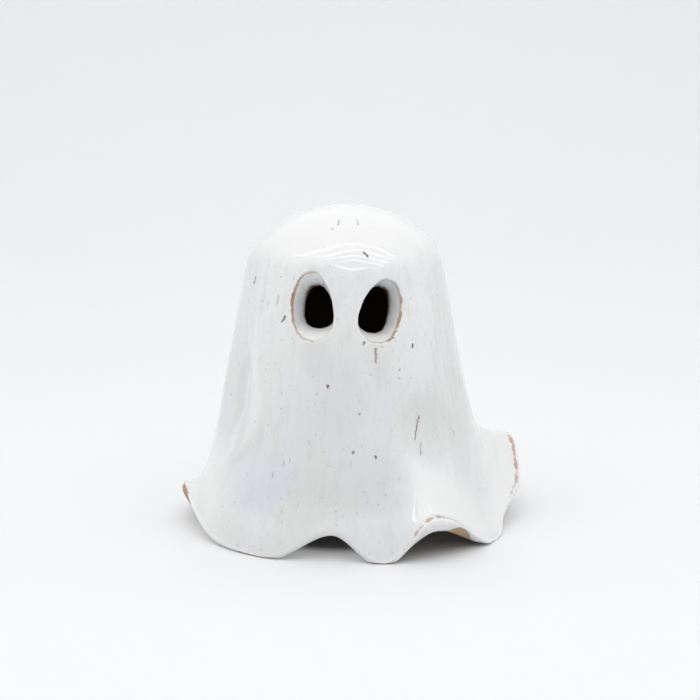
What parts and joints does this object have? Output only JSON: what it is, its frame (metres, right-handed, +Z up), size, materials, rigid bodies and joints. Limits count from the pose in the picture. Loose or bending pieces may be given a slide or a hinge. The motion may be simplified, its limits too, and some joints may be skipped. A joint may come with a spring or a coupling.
{
  "type": "ceramic ghost figure",
  "caption": "Hollow white-glazed stoneware sheet ghost with oval eye holes and a ruffled hem, open underneath, standing on the lobes of its hem as a seasonal decoration.",
  "frame": {"origin": "on the table, under the middle of the figure's outline seen from above", "axes": "+Z up, the face looks along -Y, +X is the side with the raised flap of the hem"},
  "size_m": [0.0952, 0.0886, 0.089],
  "materials": {
    "stoneware": "matte bare clay",
    "white_glaze": "gloss"
  },
  "bodies": {
    "root": {"stoneware_body": "stoneware", "white_glaze_coat": "white_glaze", "left_eye_glaze": "white_glaze", "right_eye_glaze": "white_glaze"}
  },
  "joints": []
}
